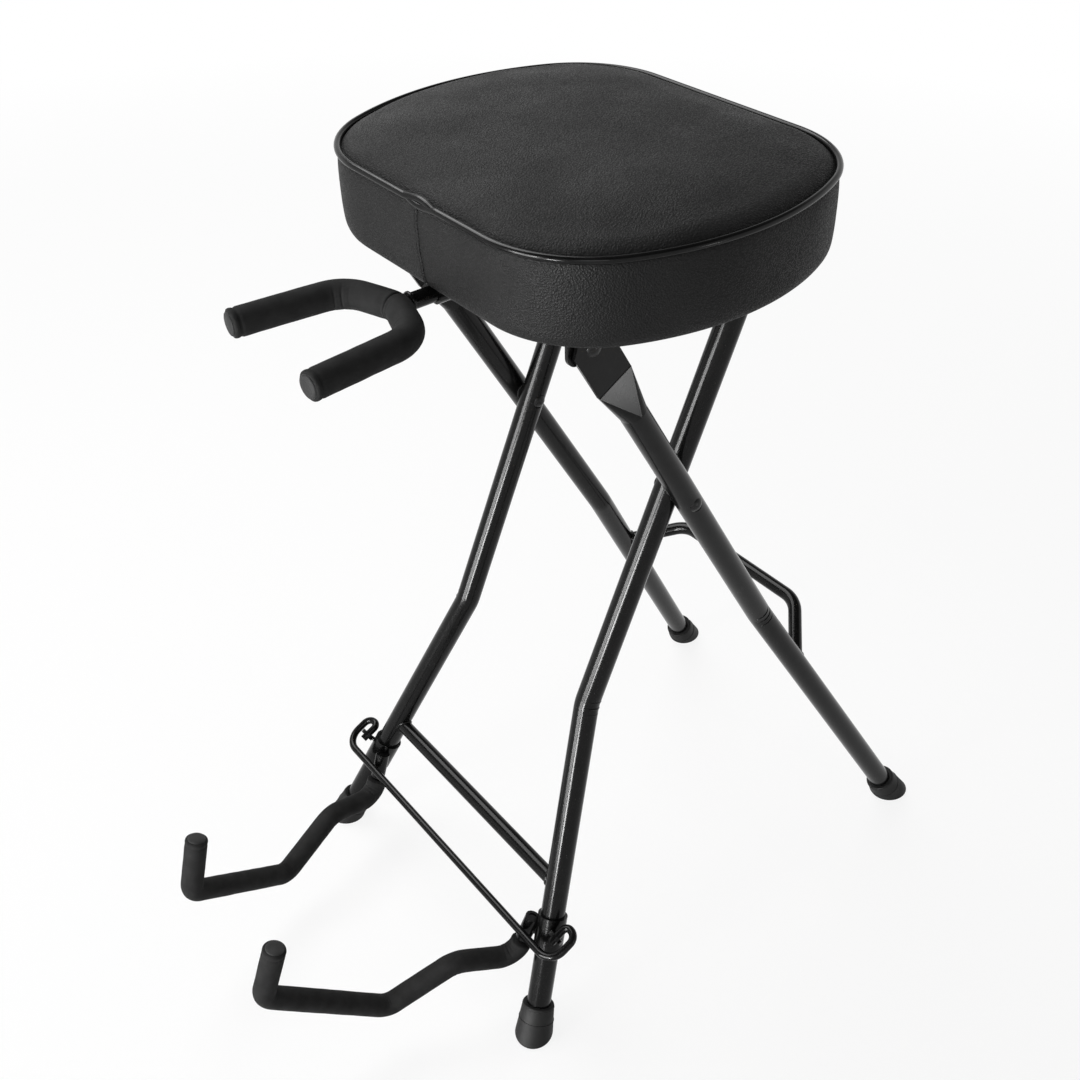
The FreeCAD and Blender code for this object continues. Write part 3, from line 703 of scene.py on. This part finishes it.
def new_tree(name, sizes, directions=()):
    """Geometry node tree with named inputs; returns the tree, its input node and its output node."""
    tree = bpy.data.node_groups.new(name, "GeometryNodeTree")
    tree.interface.new_socket("Geometry", in_out="INPUT", socket_type="NodeSocketGeometry")
    tree.interface.new_socket("Geometry", in_out="OUTPUT", socket_type="NodeSocketGeometry")
    for size in sizes:
        tree.interface.new_socket(size, in_out="INPUT", socket_type="NodeSocketFloat")
    for direction in directions:
        tree.interface.new_socket(direction, in_out="INPUT", socket_type="NodeSocketVector")
    tree.interface.new_socket("Shape", in_out="INPUT", socket_type="NodeSocketObject")
    tree.interface.new_socket("Finish", in_out="INPUT", socket_type="NodeSocketMaterial")
    return tree, tree.nodes.new("NodeGroupInput"), tree.nodes.new("NodeGroupOutput")


def finish_tree(tree, given, result, geometry):
    """End a tree with real, smooth geometry in its finish."""
    real = add_node(tree, "GeometryNodeRealizeInstances", {"Geometry": geometry})
    smooth_shade = add_node(tree, "GeometryNodeSetShadeSmooth", {"Geometry": real.outputs[0]})
    coat = add_node(tree, "GeometryNodeSetMaterial",
                    {"Geometry": smooth_shade.outputs[0], "Material": given.outputs["Finish"]})
    tree.links.new(coat.outputs[0], result.inputs["Geometry"])


def bead_tree():
    """A lumpy bead along each line, as thick as the line's own radius says."""
    tree, given, result = new_tree("bead_along_line", ["Bead radius", "Lump size", "Lumpiness"])
    position = tree.nodes.new("GeometryNodeInputPosition")
    frequency = add_node(tree, "ShaderNodeMath", {1: given.outputs["Lump size"]}, operation="DIVIDE")
    frequency.inputs[0].default_value = 1.0
    cloud = add_node(tree, "ShaderNodeTexNoise",
                     {"Vector": position.outputs[0], "Scale": frequency.outputs[0]}, detail=1.0)
    swing = add_node(tree, "ShaderNodeMath", {0: cloud.outputs["Fac"]}, operation="SUBTRACT")
    swing.inputs[1].default_value = 0.5
    lump = add_node(tree, "ShaderNodeMath", {0: swing.outputs[0], 1: given.outputs["Lumpiness"]},
                    operation="MULTIPLY_ADD")
    lump.inputs[2].default_value = 1.0
    thickness = tree.nodes.new("GeometryNodeInputRadius")
    scale = add_node(tree, "ShaderNodeMath", {0: lump.outputs[0], 1: thickness.outputs[0]},
                     operation="MULTIPLY")
    ring = add_node(tree, "GeometryNodeCurvePrimitiveCircle", {"Radius": given.outputs["Bead radius"]},
                    resolution=10)
    tube = add_node(tree, "GeometryNodeCurveToMesh",
                    {"Curve": given.outputs["Geometry"], "Profile Curve": ring.outputs[0],
                     "Scale": scale.outputs[0]})
    tube.inputs["Fill Caps"].default_value = True
    finish_tree(tree, given, result, tube.outputs[0])
    return tree


def row_tree():
    """A shape repeated along each line at a spacing, its Z along the line and its X outward."""
    tree, given, result = new_tree("shapes_along_line", ["Spacing"], ["Outward"])
    points = add_node(tree, "GeometryNodeCurveToPoints",
                      {"Curve": given.outputs["Geometry"], "Length": given.outputs["Spacing"]},
                      mode="LENGTH")
    turn = add_node(tree, "FunctionNodeAxesToRotation",
                    {"Primary Axis": points.outputs["Tangent"], "Secondary Axis": given.outputs["Outward"]},
                    primary_axis="Z", secondary_axis="X")
    shape = add_node(tree, "GeometryNodeObjectInfo", {"Object": given.outputs["Shape"]})
    copies = add_node(tree, "GeometryNodeInstanceOnPoints",
                      {"Points": points.outputs["Points"], "Rotation": turn.outputs[0],
                       "Instance": shape.outputs["Geometry"]})
    finish_tree(tree, given, result, copies.outputs[0])
    return tree


def spot_tree():
    """A shape repeated at each point."""
    tree, given, result = new_tree("shapes_at_points", [])
    shape = add_node(tree, "GeometryNodeObjectInfo", {"Object": given.outputs["Shape"]})
    copies = add_node(tree, "GeometryNodeInstanceOnPoints",
                      {"Points": given.outputs["Geometry"], "Instance": shape.outputs["Geometry"]})
    finish_tree(tree, given, result, copies.outputs[0])
    return tree


def line_object(name, lines, radii=None, cyclic=False):
    """Curve object of straight-segment lines with a radius at each point."""
    curve = bpy.data.curves.new(name, "CURVE")
    curve.dimensions = "3D"
    for number, line in enumerate(lines):
        spline = curve.splines.new("POLY")
        spline.points.add(len(line) - 1)
        for point, place in zip(spline.points, line):
            point.co = (*place, 1)
        if radii:
            for point, radius in zip(spline.points, radii[number]):
                point.radius = radius
        spline.use_cyclic_u = cyclic
    piece = bpy.data.objects.new(name, curve)
    scene.collection.objects.link(piece)
    return piece


def made_by(tree, name, lines, inputs):
    """Run a tree on lines or points and keep the result as a plain mesh piece."""
    modifier = lines.modifiers.new(tree.name, "NODES")
    modifier.node_group = tree
    sockets = {item.name: item.identifier for item in tree.interface.items_tree if item.in_out == "INPUT"}
    for label, value in inputs.items():
        modifier[sockets[label]] = value
    mesh = bpy.data.meshes.new_from_object(lines.evaluated_get(bpy.context.evaluated_depsgraph_get()))
    bpy.data.objects.remove(lines)
    mesh.name = name
    piece = bpy.data.objects.new(name, mesh)
    scene.collection.objects.link(piece)
    return piece


bead = bead_tree()
row = row_tree()


# Welds, knee wrinkles, foot ribs and press creases

def on_leg(lean, distance, y):
    """Point on a leg frame by its signed lean and its distance above the scissor pivot."""
    return pivot + Vector((distance * math.sin(lean), y, distance * math.cos(lean)))


def leg_points(frame_name, side):
    """Foot and knee of a lower leg."""
    if frame_name == "inner":
        lean, knee, half = inner_lean, inner_knee, inner_half_width
    else:
        lean, knee, half = -outer_lean, outer_knee, outer_half_width
    return on_leg(lean, -pivot.z / math.cos(lean), side * foot_spread), on_leg(lean, -knee, side * half)


def leg_at(frame_name, side, height):
    """Point on the axis of a lower leg at a height above the floor."""
    foot, knee = leg_points(frame_name, side)
    return foot.lerp(knee, height / knee.z)


def weld_line(bar_end, toward, bar_radius, leg_point, leg_axis):
    """Line where a round bar's end meets a round leg, from the bar's side."""
    axis = toward.normalized()
    side = axis.orthogonal().normalized()
    up = axis.cross(side)
    line = []
    for step in range(48):
        angle = 2 * math.pi * step / 48
        start = bar_end + (side * math.cos(angle) + up * math.sin(angle)) * bar_radius
        across = axis - leg_axis * axis.dot(leg_axis)
        gap = (start - leg_point) - leg_axis * (start - leg_point).dot(leg_axis)
        half, square = gap.dot(across), across.length_squared
        reach = (-half + math.sqrt(half ** 2 - square * (gap.length_squared - leg_radius ** 2))) / square
        line.append(start + axis * reach)
    return line


crossbar_welds = []
footrest_welds = []
for side in (-1, 1):
    foot, knee = leg_points("inner", side)
    leg = (knee - foot).normalized()
    end = leg_at("inner", side, crossbar_height)
    crossbar_welds.append(weld_line(end, Vector((0, -side, 0)), crossbar_radius, foot, leg))
    foot, knee = leg_points("outer", side)
    leg = (knee - foot).normalized()
    end = leg_at("outer", side, footrest_height)
    out = Vector((math.cos(footrest_tilt), 0, math.sin(footrest_tilt))) * footrest_reach
    corner = Vector((end.x, side * footrest_half_front, end.z)) + out
    footrest_welds.append(weld_line(end, corner - end, footrest_radius, foot, leg))
yoke_weld = []
for turn in np.linspace(0, 2 * math.pi, 48, endpoint=False):
    across, rise = yoke_tube_radius * math.sin(turn), yoke_tube_radius * math.cos(turn)
    yoke_weld.append(seat_place @ Vector((yoke_tube_end, across, yoke_height + rise)))
weld_sizes = {"Bead radius": 0.0017, "Lump size": 0.004, "Lumpiness": 0.9, "Finish": enamel}
for name, welds, body in (("crossbar_welds", crossbar_welds, "inner_frame"),
                          ("yoke_weld", [yoke_weld], "yoke"),
                          ("footrest_welds", footrest_welds, "outer_frame")):
    beads = made_by(bead, name, line_object(name, welds, cyclic=True), weld_sizes)
    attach(beads, body)


def knee_wrinkles(frame_name, side):
    """Short ridges pressed up on the inside of a leg's knee bend, with their thickness at each point."""
    foot, knee = leg_points(frame_name, side)
    lean = inner_lean if frame_name == "inner" else -outer_lean
    above = on_leg(lean, 0, knee.y) - on_leg(lean, -0.1, knee.y)
    up, down = above.normalized(), (foot - knee).normalized()
    inside = (up + down).normalized()
    run = (up - down).normalized()
    half_angle = up.angle(down) / 2
    middle = knee + inside * (knee_bend / math.sin(half_angle) - knee_bend)
    lines, radii = [], []
    for shift, reach, size in ((-0.0062, 0.9, 0.7), (-0.0005, 1.25, 1.0), (0.0058, 1.0, 0.8)):
        bow = run.cross(inside)
        turns = np.linspace(-reach, reach, 25)
        centre = middle + run * shift + inside * (shift ** 2 / (2 * knee_bend))
        lines.append([centre + (inside * math.cos(turn) + bow * math.sin(turn)) * (leg_radius - 0.0001)
                      for turn in turns])
        radii.append([size * max(0.05, 1 - (turn / reach) ** 2) for turn in turns])
    return lines, radii


def press_creases(side):
    """Raised edges left by the press across both faces of a flattened leg end."""
    along = Vector((-math.sin(outer_lean), 0, math.cos(outer_lean)))
    across = Vector((along.z, 0, -along.x))
    middle = on_leg(-outer_lean, crease_above_pivot, side * outer_half_width)
    return [[middle + across * shift + Vector((0, face * flat_thickness / 2, 0))
             for shift in np.linspace(-flat_width / 2, flat_width / 2, 16)] for face in (-1, 1)]


def foot_ribs(frame_name, side):
    """Two moulded ribs round a rubber foot."""
    foot, knee = leg_points(frame_name, side)
    axis = (knee - foot).normalized()
    lines = []
    for height, radius in ((0.0155, 0.01602), (0.0285, 0.01455)):
        lines.append(lathe(foot, axis, [(radius, height)], 64)[0])
    return lines


for frame_name in ("inner", "outer"):
    lines, radii, ribs = [], [], []
    for side in (-1, 1):
        more_lines, more_radii = knee_wrinkles(frame_name, side)
        lines += more_lines
        radii += more_radii
        ribs += foot_ribs(frame_name, side)
    wrinkles = made_by(bead, frame_name + "_knee_wrinkles", line_object("wrinkle_lines", lines, radii),
                       {"Bead radius": 0.0008, "Lump size": 0.01, "Lumpiness": 0.3, "Finish": enamel})
    rib_rings = made_by(bead, frame_name + "_foot_ribs", line_object("rib_lines", ribs, cyclic=True),
                        {"Bead radius": 0.0004, "Lump size": 0.01, "Lumpiness": 0.0, "Finish": rubber})
    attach(wrinkles, frame_name + "_frame")
    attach(rib_rings, frame_name + "_frame")

crease_lines = line_object("crease_lines", press_creases(-1) + press_creases(1))
creases = made_by(bead, "pressed_end_creases", crease_lines,
                  {"Bead radius": 0.0004, "Lump size": 0.01, "Lumpiness": 0.3, "Finish": enamel})
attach(creases, "outer_frame")


# Stitches along the boxing seam and staples under the hem

def stitch_shape():
    """One short stitch along Z, bowed outward."""
    half = 0.0011
    path = [Vector((0.0003 - (z / half) ** 2 * 0.00035, 0, z)) for z in np.linspace(-half, half, 7)]
    return new_piece("stitch", *skin(round_tube(path, 6, lambda number, out: 0.00022)), thread)


def staple_shape():
    """One staple, its crown along Z and its legs driven inward."""
    leg, crown, half = -0.0025, 0.0004, 0.005
    corners = [Vector((x, 0, z)) for x, z in ((leg, -half), (crown, -half), (crown, half), (leg, half))]
    path = rounded_path(corners, [0.0008, 0.0008], 0.0006)
    return new_piece("staple", *skin(round_tube(path, 6, lambda number, out: 0.0005)), staple_wire)


stitch = stitch_shape()
stitch_lines = [[point + Vector((0, across, 0)) + out_of_guitar_side * 0.0003 for point in seam_line]
                for across in (-stitch_offset, stitch_offset)]
stitches = made_by(row, "boxing_stitches", line_object("stitch_lines", stitch_lines),
                   {"Spacing": stitch_spacing, "Outward": out_of_guitar_side, "Shape": stitch,
                    "Finish": thread})
bpy.data.objects.remove(stitch)
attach(stitches, "seat")

staple = staple_shape()
hem = [seat_place @ Vector(point) for point in seat_ring(0.0125, -0.0012, 400)]
staples = made_by(row, "hem_staples", line_object("hem_line", [hem[12:-12]]),
                  {"Spacing": staple_spacing, "Outward": seat_down, "Shape": staple, "Finish": staple_wire})
bpy.data.objects.remove(staple)
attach(staples, "seat")


# Pan-head screws under the seat, two in each bracket and catch and four in the guide

def screw_shape():
    """Screw head with a cross recess, pointing up into the board."""
    profile = [(0.0020, 0.009), (0.0020, 0.0), (0.0042, 0.0), (0.0043, -0.0006), (0.0040, -0.0014),
               (0.0034, -0.0019), (0.0027, -0.0022), (0.0020, -0.0024), (0.0013, -0.0024),
               (0.0006, -0.0024), (0.0001, -0.0024)]
    rings = lathe(Vector(), Vector((0, 0, 1)), profile, 24)
    for ring in rings[7:]:
        for point in ring:
            if min(abs(point.x), abs(point.y)) < 0.00065:
                point.z += 0.0013
    turn = seat_place.to_3x3()
    vertices, faces = skin([[turn @ point for point in ring] for ring in rings])
    return new_piece("screw", vertices, [face[::-1] for face in faces], hardware)


bracket_screws = [(x, y, 0.003) for x in (-0.012, 0.012) for y in (-0.0862, 0.0862)]
catch_screws = [(0.15203, y, 0.003) for y in (-0.035, -0.023, 0.023, 0.035)]
guide_screws = [(x, y, 0.002) for x in (-0.034, 0.044) for y in (-0.019, 0.019)]
spot_points = [seat_place @ Vector((x, y, seat_underside - sheet))
               for x, y, sheet in bracket_screws + catch_screws + guide_screws]
screw = screw_shape()
screws = made_by(spot_tree(), "seat_screw_heads", new_piece("screw_spots", spot_points, [], hardware),
                 {"Shape": screw, "Finish": hardware})
bpy.data.objects.remove(screw)
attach(screws, "seat")
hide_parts("seat_screws")


# Camera at the photograph's angle
camera = bpy.data.objects.new("camera", bpy.data.cameras.new("camera"))
scene.collection.objects.link(camera)
scene.camera = camera
camera.data.sensor_width = 36.0
camera.data.lens = 42.54
camera.data.shift_x = 0.0059
camera.data.shift_y = 0.0050
camera_back = Vector((-0.49663, -0.63349, 0.59333))
camera_roll = math.radians(0.88)
camera.rotation_mode = "QUATERNION"
camera.rotation_quaternion = (-camera_back).to_track_quat("-Z", "Y") @ Quaternion((0, 0, 1), camera_roll)
camera.location = (-0.5757, -0.6972, 1.0581)


# Studio: pale floor, soft lamps and white walls under a dim ceiling

def soft_lamp(name, place, aim, size, power, gloss_only=False):
    """Rectangular lamp that isn't seen itself; one for gloss only lights no matt surface."""
    lamp = bpy.data.lights.new(name, "AREA")
    lamp.shape = "RECTANGLE"
    lamp.size, lamp.size_y = size
    lamp.energy = power
    holder = bpy.data.objects.new(name, lamp)
    holder.location = place
    holder.rotation_euler = (Vector(aim) - Vector(place)).to_track_quat("-Z", "Y").to_euler()
    holder.visible_camera = False
    holder.visible_diffuse = not gloss_only
    scene.collection.objects.link(holder)


soft_lamp("overhead_softbox", (-0.2, 1.3, 2.3), (0, 0, 0.6), (1.8, 1.2), 50)
soft_lamp("left_strip", (-2.1, 0.05, 0.55), (0, 0, 0.45), (0.40, 1.4), 24)
soft_lamp("left_glint", (-2.1, 0.05, 0.55), (0, 0, 0.45), (0.70, 1.4), 130, gloss_only=True)
soft_lamp("floor_glint", (-2.0, -0.75, 0.25), (-0.09, -0.13, 0.2), (0.30, 0.45), 36, gloss_only=True)
soft_lamp("front_fill", (-1.6, -1.9, 1.6), (0, 0, 0.5), (1.0, 1.0), 9)
soft_lamp("crease_glint", (0.48, -1.5, 0.46), (-0.045, -0.115, 0.615), (0.16, 0.16), 1.5)


def background_rays(tree):
    """1 for the rays that see the background, straight or in a reflection, and 0 for the rest."""
    seen = tree.nodes.new("ShaderNodeLightPath")
    share = seen.outputs["Is Camera Ray"]
    for ray in ("Is Glossy Ray", "Is Transmission Ray"):
        either = add_node(tree, "ShaderNodeMath", {0: share, 1: seen.outputs[ray]}, operation="MAXIMUM")
        share = either.outputs[0]
    return share


def studio_world():
    """White low down, fading to a dim ceiling; it lights surfaces with a part of what is seen."""
    world = bpy.data.worlds.new("studio")
    scene.world = world
    world.use_nodes = True
    tree = world.node_tree
    backdrop = tree.nodes["Background"]
    direction = add_node(tree, "ShaderNodeTexCoord").outputs["Generated"]
    height = add_node(tree, "ShaderNodeSeparateXYZ", {"Vector": direction}).outputs["Z"]
    seen = remap(tree, height, (0.35, 0.65), (1.0, 0.12))
    part = remap(tree, background_rays(tree), (0.0, 1.0), (room_light, 1.0))
    strength = add_node(tree, "ShaderNodeMath", {0: seen, 1: part}, operation="MULTIPLY").outputs[0]
    tree.links.new(strength, backdrop.inputs["Strength"])
    backdrop.inputs["Color"].default_value = (1, 1, 1, 1)


def studio_floor():
    """White floor that keeps a light shadow and glows for the rays that see it as the background."""
    sheet = lathe(Vector(), Vector((0, 0, 1)), [(9.0, -0.02), (9.0, -0.0002)], 48)
    floor = new_piece("floor", *skin(sheet), bpy.data.materials.new("white_floor"))
    material = floor.data.materials[0]
    material.use_nodes = True
    tree = material.node_tree
    shader = tree.nodes["Principled BSDF"]
    shader.inputs["Base Color"].default_value = (0.9, 0.9, 0.9, 1)
    shader.inputs["Roughness"].default_value = 0.8
    shader.inputs["Specular IOR Level"].default_value = 0.1
    place = add_node(tree, "ShaderNodeTexCoord").outputs["Object"]
    away = add_node(tree, "ShaderNodeVectorMath", {0: place}, operation="LENGTH").outputs["Value"]
    glow = remap(tree, away, (0.8, 3.0), (0.87, 1.0))
    share = add_node(tree, "ShaderNodeMath", {0: background_rays(tree), 1: glow}, operation="MULTIPLY")
    white = add_node(tree, "ShaderNodeEmission").outputs[0]
    mix = add_node(tree, "ShaderNodeMixShader", {0: share.outputs[0], 1: shader.outputs[0], 2: white})
    tree.links.new(mix.outputs[0], tree.nodes["Material Output"].inputs["Surface"])


studio_world()
studio_floor()
scene.view_settings.view_transform = "Standard"
